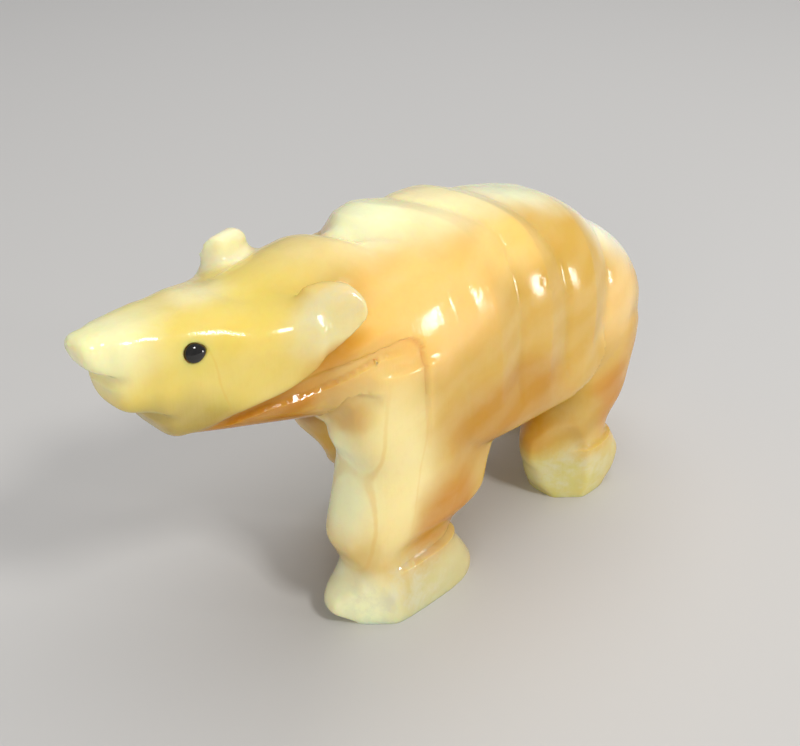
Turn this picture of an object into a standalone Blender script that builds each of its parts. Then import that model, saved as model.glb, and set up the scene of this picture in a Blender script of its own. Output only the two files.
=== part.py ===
# A polar bear figurine carved from one block of banded onyx, with two inlaid eye beads.
# It walks on four feet, head low and forward. The head points to -X, the left side to -Y, up is +Z.
# The body is a union of lofts, merged on a fine grid, then carved and thinned out.
import bmesh
import bpy
import numpy as np
from mathutils import Matrix, Vector
from mathutils.bvhtree import BVHTree

LENGTH = 0.126                 # nose to rump, 5 inches
UNIT = LENGTH / 126            # the tables below count in these shares of the length

AROUND = 56                    # points around a loft
GRID = 0.75                    # cell of the grid that merges the lofts
FILLET_ROUNDS = 5              # smoothing passes that round the joins
BEAR_TRIANGLES = 8800

# Torso, neck and head: station x, half width, top, widest height, bottom, roundness above, below
TORSO = (
    (-33.0, 10.0, 62.5, 53, 46.0, 2.0, 2.4),
    (-27.0, 14.0, 65.8, 52, 40.0, 2.1, 2.8),
    (-18.0, 17.0, 68.8, 49, 31.5, 2.0, 3.6),
    (-6.0, 18.6, 70.5, 46, 26.0, 2.2, 5.5),
    (6.0, 19.1, 69.2, 44, 25.2, 2.3, 8.0),
    (24.0, 19.3, 65.0, 42, 24.8, 2.4, 8.0),
    (36.0, 18.8, 61.1, 40, 23.6, 2.4, 4.6),
    (48.0, 16.2, 52.8, 38, 22.4, 2.3, 3.2),
    (55.0, 12.0, 45.0, 36, 22.8, 2.2, 2.4),
    (58.6, 7.6, 40.2, 35, 25.8, 2.1, 2.2),
    (60.2, 3.6, 37.2, 34, 29.4, 2.0, 2.0),
    (60.6, 1.2, 35.2, 34, 32.4, 2.0, 2.0),
)
NECK = (
    (-52.0, 5.8, 65.6, 57, 46.4, 2.2, 2.8),
    (-44.0, 7.6, 66.6, 56, 44.2, 2.2, 2.8),
    (-36.0, 9.8, 67.4, 55, 42.3, 2.2, 2.8),
    (-28.0, 12.6, 68.3, 54, 40.5, 2.1, 2.8),
    (-20.0, 14.8, 68.6, 52, 38.0, 2.0, 2.8),
    (-12.0, 14.6, 67.4, 52, 36.0, 2.0, 2.8),
)
HEAD = (
    (-65.9, 1.9, 66.6, 65.3, 64.2, 2.2, 2.2),
    (-65.2, 2.9, 67.1, 65.1, 63.2, 2.6, 2.4),
    (-64.2, 3.4, 67.4, 64.5, 62.1, 2.8, 2.8),
    (-63.2, 3.5, 67.5, 63.5, 60.4, 2.6, 3.2),
    (-62.9, 4.0, 67.6, 62.9, 57.6, 2.5, 3.4),
    (-62.4, 4.7, 67.6, 62.6, 55.0, 2.5, 3.4),
    (-61.0, 5.2, 67.5, 62.2, 54.3, 2.5, 3.6),
    (-57.6, 6.1, 67.6, 61.0, 52.8, 2.4, 3.6),
    (-56.6, 6.6, 67.6, 60.6, 51.0, 2.4, 3.8),
    (-55.4, 7.0, 67.6, 60.2, 48.7, 2.4, 4.0),
    (-53.8, 7.3, 67.7, 60.0, 47.8, 2.4, 4.4),
    (-50.6, 8.3, 67.5, 60.0, 47.9, 2.3, 5.0),
    (-48.9, 8.9, 67.5, 60.0, 48.3, 2.3, 5.5),
    (-47.2, 9.6, 67.7, 60.0, 48.8, 2.2, 6.0),
    (-44.0, 11.0, 67.2, 60.0, 50.1, 2.1, 7.0),
    (-40.0, 12.2, 66.2, 60.6, 50.8, 2.1, 7.0),
    (-36.0, 13.6, 65.6, 61.4, 52.2, 2.1, 6.0),
    (-33.0, 15.0, 65.5, 62.0, 54.6, 2.1, 5.0),
    (-31.0, 14.2, 64.8, 62.4, 56.8, 2.2, 3.0),
)

# Legs: station height, centre x, centre y outwards, half length, half width, roundness on the
# inside and on the outside
LEG_START = -3.0               # the soles are cut flat at height 0
FORE_LEFT = (
    (LEG_START, -15.0, 11.1, 11.6, 6.8, 2.4, 3.2),
    (0.0, -12.9, 11.1, 13.6, 7.9, 2.6, 3.4),
    (2.5, -14.4, 11.1, 15.5, 8.0, 2.6, 3.4),
    (5.0, -14.9, 11.1, 14.6, 7.9, 2.4, 3.4),
    (7.5, -14.5, 11.0, 12.6, 7.7, 2.3, 3.2),
    (10.0, -14.6, 10.9, 11.6, 7.5, 2.2, 3.0),
    (13.0, -14.1, 10.7, 12.9, 7.6, 2.3, 3.0),
    (18.0, -11.6, 10.4, 16.6, 8.5, 2.5, 3.0),
    (22.0, -10.5, 10.3, 16.2, 8.8, 2.6, 3.0),
    (27.0, -8.6, 10.2, 16.6, 8.8, 2.8, 3.0),
    (31.0, -7.8, 10.1, 16.3, 8.8, 3.0, 3.0),
    (36.0, -9.1, 10.0, 16.7, 8.8, 3.0, 3.0),
    (50.0, -10.6, 10.0, 15.0, 8.4, 3.0, 3.0),
)
FORE_RIGHT = (
    (LEG_START, 7.2, 11.1, 11.2, 6.8, 2.6, 3.2),
    (0.0, 7.2, 11.1, 12.4, 7.4, 2.6, 3.4),
    (3.0, 6.9, 11.1, 13.4, 7.7, 2.6, 3.4),
    (8.0, 5.8, 11.1, 12.2, 7.6, 2.4, 3.2),
    (11.0, 4.6, 11.0, 11.6, 7.5, 2.3, 3.0),
    (16.0, 1.6, 10.8, 12.8, 8.0, 2.5, 2.7),
    (24.0, -2.2, 10.6, 13.8, 8.3, 2.6, 2.7),
    (36.0, -6.7, 10.2, 13.9, 8.3, 2.8, 2.5),
    (50.0, -11.5, 10.0, 15.2, 8.2, 2.8, 2.5),
)
HIND_LEFT = (
    (LEG_START, 35.8, 11.6, 7.4, 6.2, 2.6, 2.8),
    (0.0, 35.4, 11.6, 7.7, 7.1, 2.6, 2.8),
    (3.0, 36.2, 11.7, 10.2, 7.4, 2.6, 2.8),
    (6.0, 36.1, 11.7, 11.0, 7.6, 2.6, 2.8),
    (9.0, 34.6, 11.7, 10.8, 7.7, 2.4, 2.8),
    (13.0, 33.4, 11.5, 9.9, 7.7, 2.4, 2.7),
    (16.0, 35.1, 11.2, 10.0, 7.4, 2.4, 2.6),
    (22.0, 39.4, 10.8, 10.1, 7.2, 2.4, 2.6),
    (34.0, 41.2, 10.5, 11.8, 7.1, 2.6, 2.5),
    (44.0, 39.0, 9.0, 8.0, 6.0, 2.4, 2.2),
)
HIND_RIGHT = (
    (LEG_START, 52.0, 11.4, 7.2, 6.2, 2.6, 2.8),
    (0.0, 52.0, 11.4, 7.8, 6.9, 2.6, 2.8),
    (4.0, 52.2, 11.4, 10.2, 7.5, 2.6, 2.8),
    (9.0, 51.0, 11.4, 10.2, 7.6, 2.4, 2.8),
    (12.5, 49.8, 11.2, 9.5, 7.4, 2.4, 2.7),
    (16.0, 48.8, 11.0, 9.2, 7.2, 2.4, 2.6),
    (24.0, 46.2, 10.8, 10.0, 7.1, 2.4, 2.6),
    (34.0, 44.0, 10.4, 10.6, 7.0, 2.6, 2.5),
    (44.0, 40.0, 9.0, 8.0, 6.0, 2.4, 2.2),
)

# Ears: station x, lower edge, upper edge, thickness. Each stands on the plane of its cheek.
LEFT_EAR = (
    (-40.0, 53.2, 60.0, 2.0),
    (-37.2, 54.2, 64.2, 3.2),
    (-35.8, 54.9, 66.2, 3.8),
    (-33.0, 56.5, 67.3, 4.0),
    (-30.5, 58.2, 67.6, 4.0),
    (-28.2, 60.1, 67.4, 3.8),
    (-26.9, 61.6, 66.5, 3.0),
    (-26.2, 62.8, 65.2, 1.6),
)
RIGHT_EAR = (
    (-37.8, 54.0, 62.0, 2.8),
    (-37.1, 54.6, 67.2, 3.2),
    (-35.2, 55.6, 68.6, 3.8),
    (-32.4, 57.2, 69.5, 4.4),
    (-29.6, 59.0, 69.4, 5.0),
    (-27.6, 60.2, 67.0, 5.6),
    (-25.2, 60.8, 65.2, 6.0),
    (-22.8, 60.6, 63.6, 5.6),
    (-21.2, 60.0, 62.0, 4.0),
)
CHEEK = (-60.0, 5.4, 0.364)    # x where the cheek plane stands so far out, and its spread
LEFT_LEAN, RIGHT_LEAN = 0.32, 0.22     # how far each ear leans in for each unit of height
EAR_ROUNDNESS = (2.8, 2.6)     # through its thickness, and up its height

# Flats planed on the lofts: a point on each, its outward direction, and the height it reaches up to
FORE_LEFT_FLATS = (
    ((-24.5, -15.8, 0), (-0.69, -0.72, -0.05), 26),
    ((-7.0, -19.0, 25), (0.22, -0.97, 0.05), 34),
)
FORE_RIGHT_FLATS = (((-4.8, 16.0, 0), (-0.69, 0.72, -0.05), 26),)
HIND_LEFT_FLATS = (((30.0, -16.4, 0), (-0.68, -0.73, -0.04), 26),)
HIND_RIGHT_FLATS = (((45.2, 16.2, 0), (-0.68, 0.73, -0.04), 24),)
NOSE_FLATS = (((-65.7, 0, 65.5), (-0.96, 0, -0.28), 70),)

# Carved bands: each valley's x on the flank at mid height, its lean, how far the crown is swept,
# and how far out from the middle the sweep reaches
RINGS = (
    (-4.5, -0.16, -8.9, 15.0),
    (9.7, -0.02, -10.2, 16.0),
    (22.7, -0.03, -5.4, 22.0),
    (36.2, 0.05, 8.6, 23.0),
)
RING_HEIGHT = 45.0
CROWN_MIDDLE = 3.0             # y of the crown's middle
SWEEP_POWER, SWEEP_FOOT = 1.9, (40, 52)
BAND = ((0, 0.12, 0.5, 1), (0, 0.7, 1, 0))     # share of the way to the next valley, share of the height
FIRST_BAND = ((0, 0.28, 0.5, 1), (0, 0.86, 1, 0))      # the same for the first, which rises more slowly
BAND_DEPTH = 1.4
BAND_LEAST = 0.5               # no band counts as narrower than this
LAST_BAND = 16.0               # the band behind the last valley would be this wide
FLANK_STEP, SPINE_STEP = 0.8, 3.3      # depth of the first valley on the flank and over the crown
SPINE_FADE = (3, 14)           # distances out between which the one passes into the other
CROWN_HALF, CROWN_FOOT = 13.0, (54, 62)
NECK_REACH, NECK_CURVE = 12, 1.5       # how far in front of the first valley its step runs out
LOW_FADE = (29, 38)            # heights where the rings die out low on the flank
SPINE_SHALLOW = 0.25           # share of the depth that the bands lose over the spine

# On the left the last valley turns forward under the flank, as a lip over the thigh: the radius
# of its corner, the height where it starts, its stretch, its roundness, the heights between which
# it takes over, how far behind it the thigh fills out again, and the heights where it dies out
LIP_CORNER, LIP_TOP, LIP_STRETCH, LIP_ROUNDNESS = 8.3, 37.0, 0.89, 2.2
LIP_BLEND, LIP_FILL, LIP_FADE = (31, 40), (0.5, 9.0), (17, 24)

# Front of the left foreleg, cut back under an arch: its rear x, its top z, the slope of its top,
# the radius of the corner, the depth, how far below the top it fades out, and where it starts
# sideways and in front
ARCH = (-13.8, 56.0, 0.2, 4.5, 1.0)
ARCH_EDGE = (0.92, 1.04)       # share of the corner's radius over which the step falls
ARCH_DOWN, ARCH_OUT, ARCH_FRONT = (4, 16), (6, 10), (-34, -27)

# Hollow under the cheek: x and height of its lower edge along the neck, its depth, how it rises,
# holds and fades above the edge, and where it starts and ends along the neck and sideways
HOLLOW_EDGE = ((-45.0, 46.6), (-38.7, 47.9), (-32.0, 48.5), (-27.4, 50.2), (-21.8, 52.4))
HOLLOW_DEPTH, HOLLOW_SPREAD = 0.9, (0.5, 2.2, 5.0)
HOLLOW_FRONT, HOLLOW_REAR, HOLLOW_OUT = (-49.0, -44.0), (-22.0, -16.0), (3.0, 6.0)

# Step under the chest on the left foreleg: distance out and height of the edge, then the same
CHEST_EDGE = ((5.0, 40.4), (7.5, 41.6), (11.4, 44.4), (13.2, 46.4), (14.6, 47.0), (17.0, 46.9))
CHEST_DEPTH, CHEST_SPREAD = 0.8, (0.4, 1.0, 4.5)
CHEST_FRONT, CHEST_OUT = (-24.5, -21.5), (4.0, 6.5)

# Ankles: centre x and y, reach, height of the paw's upper edge, depth all round, and the depth of
# the sharp part of the edge, backwards and outwards
ANKLES = (
    (-14.0, -11.0, 20.0, 10.4, 0.25, 1.3),
    (5.0, 11.0, 18.0, 10.2, 0.25, 1.2),
    (34.0, -11.5, 15.0, 11.8, 0.2, 0.8),
    (50.0, 11.4, 15.0, 12.4, 0.2, 1.1),
)
ANKLE_WAY, ANKLE_TURN = (0.5, 0.87), (0.05, 0.6)
ANKLE_SPREAD, ANKLE_SOFT = (0.5, 2.2, 8.0), (-3, 1.5)

# Mouth lines across the muzzle: where they cross the front, in x and z, then depth and half width
MOUTH_LINES = ((-63.4, 60.4, 1.0, 1.5), (-57.4, 52.7, 1.1, 1.4))
MOUTH_FADE = (0.3, 3.6)

EYE_AT = (-51.3, 62.6)         # x and z on the cheek
EYE_RADIUS = 1.45
EYE_DOME = 0.75                # how far the bead stands over the cheek
EYE_DEPTH = 1.7
CLEARANCE = 0.0003             # metres between a bead and its socket, the same at any size

ONYX = ((0.86, 0.68, 0.36), 0.22, 0.0)
JET = ((0.012, 0.011, 0.010), 0.08, 0.0)


def clear_scene():
    for thing in list(bpy.data.objects):
        bpy.data.objects.remove(thing, do_unlink=True)


def collection(name, hidden=False):
    made = bpy.data.collections.new(name)
    bpy.context.scene.collection.children.link(made)
    made.hide_render = hidden
    return made


def material(name, look):
    made = bpy.data.materials.new(name)
    made.use_nodes = True
    colour, roughness, metallic = look
    shader = made.node_tree.nodes["Principled BSDF"]
    shader.inputs["Base Color"].default_value = (*colour, 1)
    shader.inputs["Roughness"].default_value = roughness
    shader.inputs["Metallic"].default_value = metallic
    made.diffuse_color = (*colour, 1)
    return made


def through(keys, at):
    # Each column of the keys as a smooth curve through its values, with no overshoot between them
    keys = np.asarray(keys, float)
    x, y = keys[:, 0], keys[:, 1:]
    at = np.clip(at, x[0], x[-1])
    wide = np.diff(x)[:, None]
    slope = np.diff(y, axis=0) / wide
    near, far = 2 * wide[1:] + wide[:-1], wide[1:] + 2 * wide[:-1]
    steady = slope[:-1] * slope[1:] > 0
    safe = np.where(steady, slope[:-1], 1), np.where(steady, slope[1:], 1)
    mean = (near + far) / (near / safe[0] + far / safe[1])
    tangent = np.vstack([slope[:1], np.where(steady, mean, 0), slope[-1:]])
    i = np.clip(np.searchsorted(x, at) - 1, 0, len(wide) - 1)
    t = ((at - x[i]) / wide[i, 0])[:, None]
    start, end = y[i], y[i + 1]
    rise, fall = wide[i] * tangent[i], wide[i] * tangent[i + 1]
    curve = (2 * t**3 - 3 * t**2 + 1) * start + (t**3 - 2 * t**2 + t) * rise
    return curve + (3 * t**2 - 2 * t**3) * end + (t**3 - t**2) * fall


def eased(low, high, value):
    # 0 at low, 1 at high, level at both ends
    t = np.clip((value - low) / (high - low), 0, 1)
    return t * t * (3 - 2 * t)


def rounded(wave, roundness):
    # One coordinate of a superellipse
    return np.sign(wave) * np.abs(wave) ** (2 / roundness)


def turn():
    angle = np.linspace(0, 2 * np.pi, AROUND, endpoint=False)
    return np.cos(angle)[None], np.sin(angle)[None]


def body_loft(keys, steps):
    # Superellipse sections across X, with their own roundness above and below the widest height
    x = np.linspace(keys[0][0], keys[-1][0], steps)
    half, top, widest, bottom, above, below = (c[:, None] for c in through(keys, x).T)
    across, upward = turn()
    roundness = np.where(upward >= 0, above, below)
    reach = np.where(upward >= 0, top - widest, widest - bottom)
    y = half * rounded(across, roundness)
    z = widest + reach * rounded(upward, roundness)
    return np.stack([np.broadcast_to(x[:, None], y.shape), y, z], axis=-1)


def leg_loft(keys, steps, side):
    # Level superellipse sections from the sole up into the body, squarer on the outside
    z = np.linspace(keys[0][0], keys[-1][0], steps)
    x, y, length, width, inside, outside = (c[:, None] for c in through(keys, z).T)
    along, across = turn()
    roundness = np.where(across >= 0, outside, inside)
    x = x + length * rounded(along, roundness)
    y = side * (y + width * rounded(across, roundness))
    return np.stack([x, y, np.broadcast_to(z[:, None], x.shape)], axis=-1)


def ear_loft(keys, lean, steps, side):
    # Upright superellipse sections, crowded towards both ends, with their outer face on the cheek
    t = (1 - np.cos(np.linspace(0, np.pi, steps))) / 2
    x = keys[0][0] + (keys[-1][0] - keys[0][0]) * t
    low, high, thick = (c[:, None] for c in through(keys, x).T)
    at, out, spread = CHEEK
    plane = (out + spread * (x - at))[:, None]
    sideways = 1 / np.hypot(spread, 1)
    across, upward = turn()
    z = (low + high) / 2 + (high - low) / 2 * rounded(upward, EAR_ROUNDNESS[1])
    inward = thick / 2 * (rounded(across, EAR_ROUNDNESS[0]) - 1)
    y = plane - lean * (z - low) + inward * sideways
    x = x[:, None] - inward * sideways * spread
    return np.stack([x, side * y, z], axis=-1)


def planed(points, flats):
    # What stands proud of a flat is brought back onto it
    for at, way, reach in flats:
        way = np.array(way) / np.linalg.norm(way)
        over = np.maximum((points - at) @ way, 0) * (points[..., 2] < reach)
        points = points - over[..., None] * way
    return points


def shell(rings):
    # The rings as one closed mesh, with flat ends
    count, around = rings.shape[:2]
    i = np.arange(count - 1)[:, None] * around
    j = np.arange(around)[None]
    k = (j + 1) % around
    faces = np.stack([i + j, i + k, i + around + k, i + around + j], axis=-1).reshape(-1, 4)
    ends = [list(range(around))[::-1], list(range((count - 1) * around, count * around))]
    mesh = bpy.data.meshes.new("shell")
    mesh.from_pydata(rings.reshape(-1, 3), [], faces.tolist() + ends)
    return mesh


def outward(mesh):
    # Faces turned to point out, whichever way the rings ran
    work = bmesh.new()
    work.from_mesh(mesh)
    bmesh.ops.recalc_face_normals(work, faces=work.faces)
    work.to_mesh(mesh)
    work.free()


def points_of(mesh):
    flat = np.empty(len(mesh.vertices) * 3)
    mesh.vertices.foreach_get("co", flat)
    return flat.reshape(-1, 3)


def normals_of(mesh):
    flat = np.empty(len(mesh.vertices) * 3)
    mesh.vertices.foreach_get("normal", flat)
    return flat.reshape(-1, 3)


def put_points(mesh, points):
    mesh.vertices.foreach_set("co", points.ravel())
    mesh.update()


def evaluated(thing):
    graph = bpy.context.evaluated_depsgraph_get()
    return bpy.data.meshes.new_from_object(thing.evaluated_get(graph))


def merged(group, shells):
    # All shells in one mesh, rebuilt as the one surface round them, then smoothed at the joins
    work = bmesh.new()
    for mesh in shells:
        outward(mesh)
        work.from_mesh(mesh)
    mesh = bpy.data.meshes.new("block")
    work.to_mesh(mesh)
    work.free()
    block = bpy.data.objects.new("block", mesh)
    group.objects.link(block)
    remesh = block.modifiers.new("merge", "REMESH")
    remesh.mode = "VOXEL"
    remesh.voxel_size = GRID
    remesh.adaptivity = 0
    smooth = block.modifiers.new("fillet", "SMOOTH")
    smooth.factor = 0.5
    smooth.iterations = FILLET_ROUNDS
    result = evaluated(block)
    bpy.data.objects.remove(block, do_unlink=True)
    return result


def ring_gaps(points):
    # How far each point is behind every valley: straight down the flank, swept over the crown,
    # and round the lip over the left thigh
    x, y, z = points.T
    gaps = []
    for at, lean, sweep, reach in RINGS:
        out = (y - CROWN_MIDDLE) / reach
        crown = np.clip(1 - out**2, 0, 1) ** SWEEP_POWER * eased(*SWEEP_FOOT, z)
        gaps.append(x - (at + lean * (z - RING_HEIGHT) + sweep * crown))
    behind = np.maximum(gaps[-1] + LIP_CORNER, 0)
    below = np.maximum(LIP_TOP - z, 0) * LIP_STRETCH
    turned_gap = (behind**LIP_ROUNDNESS + below**LIP_ROUNDNESS) ** (1 / LIP_ROUNDNESS) - LIP_CORNER
    gaps[-1] = np.where((y < 0) & (below > 0) & (behind > 0), turned_gap, gaps[-1])
    return gaps


def band_depth(points):
    # Each band climbs steeply from its front valley, goes on to a crest half way, and falls away
    # to the next. The first is a step up from the neck, which fades out down the shoulders.
    x, y, z = points.T
    gaps = ring_gaps(points)
    crown = np.clip(1 - (y / CROWN_HALF) ** 2, 0, 1) * eased(*CROWN_FOOT, z)
    over = (1 - eased(*SPINE_FADE, np.abs(y - CROWN_MIDDLE))) * eased(*CROWN_FOOT, z)
    step = FLANK_STEP + (SPINE_STEP - FLANK_STEP) * over
    plain = BAND_DEPTH * (1 - SPINE_SHALLOW * crown)
    under = (1 - eased(*LIP_BLEND, z)) * (y < 0)
    crest, last = BAND[0][2], len(gaps) - 1
    depth = step * (1 - np.clip(-gaps[0] / NECK_REACH, 0, 1)) ** NECK_CURVE
    for order, gap in enumerate(gaps):
        wide = LAST_BAND if order == last else np.maximum(gap - gaps[order + 1], BAND_LEAST)
        t = gap / wide
        low = 1 - np.interp(t, *(BAND if order else FIRST_BAND))
        if order == last:
            low = np.where(t > crest, 0, low)
            low = low + (1 - eased(*LIP_FILL, gap) - low) * under
        if order == last - 1:
            low = np.where(t > crest, low * (1 - under), low)
        valley = step if order == 0 else plain
        inside = (gap >= 0) & ((t < 1) | (order == last))
        depth = np.where(inside, low * np.where(t < crest, valley, plain), depth)
    return depth * np.where(gaps[-1] > 0, eased(*LIP_FADE, z), eased(*LOW_FADE, z))


def arch_depth(points):
    # A step down over the front of the left foreleg, under a rounded corner
    x, y, z = points.T
    back, top, slope, corner, depth = ARCH
    behind = np.maximum(1 + (x - back) / corner, 0)
    over = np.maximum(1 + (z - top - slope * (x - back)) / corner, 0)
    under = 1 - eased(*ARCH_EDGE, np.hypot(behind, over))
    near, far = ARCH_DOWN
    return depth * under * eased(top - far, top - near, z) * eased(*ARCH_OUT, -y) * eased(*ARCH_FRONT, x)


def edge_depth(distance, spread):
    # Full depth close to one side of an edge, fading out further off
    rise, hold, gone = spread
    return np.clip(distance / rise, 0, 1) * (1 - eased(hold, gone, distance))


def hollow_depth(points):
    # Under the cheek, above the edge that runs along the neck
    x, y, z = points.T
    shape = edge_depth(z - through(HOLLOW_EDGE, x)[:, 0], HOLLOW_SPREAD)
    along = eased(*HOLLOW_FRONT, x) * (1 - eased(*HOLLOW_REAR, x))
    return HOLLOW_DEPTH * shape * along * eased(*HOLLOW_OUT, np.abs(y))


def chest_depth(points):
    # On the left foreleg, below the edge of the chest
    x, y, z = points.T
    shape = edge_depth(through(CHEST_EDGE, -y)[:, 0] - z, CHEST_SPREAD)
    return CHEST_DEPTH * shape * (1 - eased(*CHEST_FRONT, x)) * eased(*CHEST_OUT, -y)


def ankle_depth(points):
    # Above each paw's upper edge the leg steps in and fills out again higher up
    x, y, z = points.T
    depth = np.zeros(len(points))
    for at_x, at_y, reach, edge, soft, sharp in ANKLES:
        back, out = x - at_x, (y - at_y) * np.sign(at_y)
        facing = (back * ANKLE_WAY[0] + out * ANKLE_WAY[1]) / np.maximum(np.hypot(back, out), 1)
        weight = eased(*ANKLE_TURN, facing)
        above = z - edge
        rise, hold, gone = ANKLE_SPREAD
        front = soft * eased(*ANKLE_SOFT, above) * (1 - eased(hold, gone, above))
        near = (np.abs(back) < reach) & (y * at_y > 0)
        depth += near * ((1 - weight) * front + weight * sharp * edge_depth(above, ANKLE_SPREAD))
    return depth


def mouth_depth(points):
    # V grooves across the muzzle, fading out backwards
    x, y, z = points.T
    depth = np.zeros(len(points))
    for at, level, deep, half in MOUTH_LINES:
        groove = np.clip(1 - np.abs(z - level) / half, 0, 1)
        depth += deep * groove * (1 - eased(*MOUTH_FADE, x - at))
    return depth


def carve(points, normals):
    # Moves each point along its normal by the depth of every cut that reaches it
    depth = band_depth(points) + arch_depth(points) + hollow_depth(points)
    depth += chest_depth(points) + ankle_depth(points) + mouth_depth(points)
    return points - normals * depth[:, None]


def cutter(group, name, mesh):
    made = bpy.data.objects.new(name, mesh)
    group.objects.link(made)
    made.hide_render = True
    made.display_type = "WIRE"
    return made


def box_mesh(low, high):
    corners = [[(low, high)[i][0], (low, high)[j][1], (low, high)[k][2]]
               for i in (0, 1) for j in (0, 1) for k in (0, 1)]
    faces = [(0, 1, 3, 2), (4, 6, 7, 5), (0, 4, 5, 1), (2, 3, 7, 6), (0, 2, 6, 4), (1, 5, 7, 3)]
    mesh = bpy.data.meshes.new("box")
    mesh.from_pydata(corners, [], faces)
    return mesh


def turned(profile, frame, steps=28):
    # A profile of (radius, height) turned round the frame's Z axis, its ends on the axis
    angle = np.linspace(0, 2 * np.pi, steps, endpoint=False)
    rings = [[(r * np.cos(a), r * np.sin(a), h) for a in angle] for r, h in profile[1:-1]]
    points = [(0, 0, profile[0][1])] + [p for ring in rings for p in ring] + [(0, 0, profile[-1][1])]
    faces = []
    for j in range(steps):
        k = (j + 1) % steps
        faces.append((0, 1 + k, 1 + j))
        for i in range(len(rings) - 1):
            a, b = 1 + i * steps, 1 + (i + 1) * steps
            faces.append((a + j, a + k, b + k, b + j))
        last = 1 + (len(rings) - 1) * steps
        faces.append((last + j, last + k, len(points) - 1))
    mesh = bpy.data.meshes.new("turned")
    mesh.from_pydata([frame @ Vector(p) for p in points], [], faces)
    outward(mesh)
    return mesh


def eye_frame(mesh, side):
    # Where a line from the side meets the cheek, with Z along the cheek's own outward slope
    tree = BVHTree.FromPolygons([v.co for v in mesh.vertices], [p.vertices for p in mesh.polygons])
    found, slopes = [], []
    for step in (-1.6, 0, 1.6):
        for lift in (-1.6, 0, 1.6):
            start = Vector((EYE_AT[0] + step, side * 40, EYE_AT[1] + lift))
            hit, normal = tree.ray_cast(start, Vector((0, -side, 0)))[:2]
            found.append(hit)
            slopes.append(normal)
    out = sum(slopes, Vector()).normalized()
    return Matrix.Translation(found[4]) @ out.to_track_quat("Z", "Y").to_matrix().to_4x4()


def bead_profile():
    # A short plug under a dome
    dome = [(EYE_RADIUS * np.cos(a), EYE_DOME * np.sin(a)) for a in np.linspace(0, np.pi / 2, 7)[:-1]]
    foot = [(0, -EYE_DEPTH), (EYE_RADIUS * 0.85, -EYE_DEPTH), (EYE_RADIUS, -EYE_DEPTH * 0.8)]
    return foot + dome + [(0, EYE_DOME)]


def socket_profile():
    # A round hole a clearance wider and deeper than the bead, open to the outside
    gap = CLEARANCE / UNIT
    radius, floor = EYE_RADIUS + gap, -EYE_DEPTH - gap
    return [(0, floor), (radius, floor), (radius, 0.4), (radius + 1.2, 3.0), (0, 3.0)]


def shade_smooth(thing):
    for face in thing.data.polygons:
        face.use_smooth = True


def node(group, name, mesh, look):
    made = bpy.data.objects.new(name, mesh)
    mesh.name = name
    made.data.materials.clear()
    made.data.materials.append(look)
    group.objects.link(made)
    return made


def subtract(thing, tool):
    cut = thing.modifiers.new(tool.name, "BOOLEAN")
    cut.operation = "DIFFERENCE"
    cut.solver = "EXACT"
    cut.object = tool


def main():
    clear_scene()
    bears = collection("onyx_polar_bear")
    cutters = collection("cutters", hidden=True)
    onyx = material("onyx", ONYX)
    jet = material("eye_bead", JET)

    shells = [shell(body_loft(TORSO, 80)), shell(body_loft(NECK, 30))]
    shells += [shell(planed(body_loft(HEAD, 100), NOSE_FLATS))]
    shells += [shell(ear_loft(LEFT_EAR, LEFT_LEAN, 36, -1)), shell(ear_loft(RIGHT_EAR, RIGHT_LEAN, 36, 1))]
    shells += [shell(planed(leg_loft(FORE_LEFT, 60, -1), FORE_LEFT_FLATS))]
    shells += [shell(planed(leg_loft(FORE_RIGHT, 60, 1), FORE_RIGHT_FLATS))]
    shells += [shell(planed(leg_loft(HIND_LEFT, 50, -1), HIND_LEFT_FLATS))]
    shells += [shell(planed(leg_loft(HIND_RIGHT, 50, 1), HIND_RIGHT_FLATS))]
    mesh = merged(bears, shells)
    points = carve(points_of(mesh), normals_of(mesh))
    put_points(mesh, points)

    frames = {"left_eye": eye_frame(mesh, -1), "right_eye": eye_frame(mesh, 1)}
    bear = node(bears, "bear", mesh, onyx)
    thin = bear.modifiers.new("thin", "DECIMATE")
    thin.ratio = BEAR_TRIANGLES / (2 * len(mesh.polygons))
    floor = cutter(cutters, "floor_cut", box_mesh((-90, -60, -20), (90, 60, 0)))
    subtract(bear, floor)
    for name, frame in frames.items():
        subtract(bear, cutter(cutters, name + "_socket", turned(socket_profile(), frame)))
    solid = evaluated(bear)
    bear.modifiers.clear()
    bear.data = solid
    solid.name = "bear"

    beads = [node(bears, name, turned(bead_profile(), frame), jet)
             for name, frame in frames.items()]
    low, high = points_of(solid).min(axis=0), points_of(solid).max(axis=0)
    centre = np.array([(low[0] + high[0]) / 2, (low[1] + high[1]) / 2, 0])
    for thing in [bear, *beads, *cutters.objects]:
        put_points(thing.data, (points_of(thing.data) - centre) * UNIT)
        shade_smooth(thing)


main()
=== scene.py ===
import math
import bmesh
import bpy
import numpy as np
from mathutils import Matrix, Vector
from mathutils.bvhtree import BVHTree


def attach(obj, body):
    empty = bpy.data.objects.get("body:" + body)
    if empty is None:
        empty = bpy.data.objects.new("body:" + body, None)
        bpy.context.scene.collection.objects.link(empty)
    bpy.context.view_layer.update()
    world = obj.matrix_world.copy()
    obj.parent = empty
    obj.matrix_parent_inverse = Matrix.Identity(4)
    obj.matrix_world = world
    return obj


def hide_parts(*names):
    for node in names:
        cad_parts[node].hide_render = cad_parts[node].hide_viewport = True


# Polar bear carved from banded onyx, polished, with two inlaid jet beads for eyes.
# The head points to -X, the bear's left side to -Y, up is +Z. The shape tables count in
# millimetres; the finished meshes are in metres.

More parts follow.
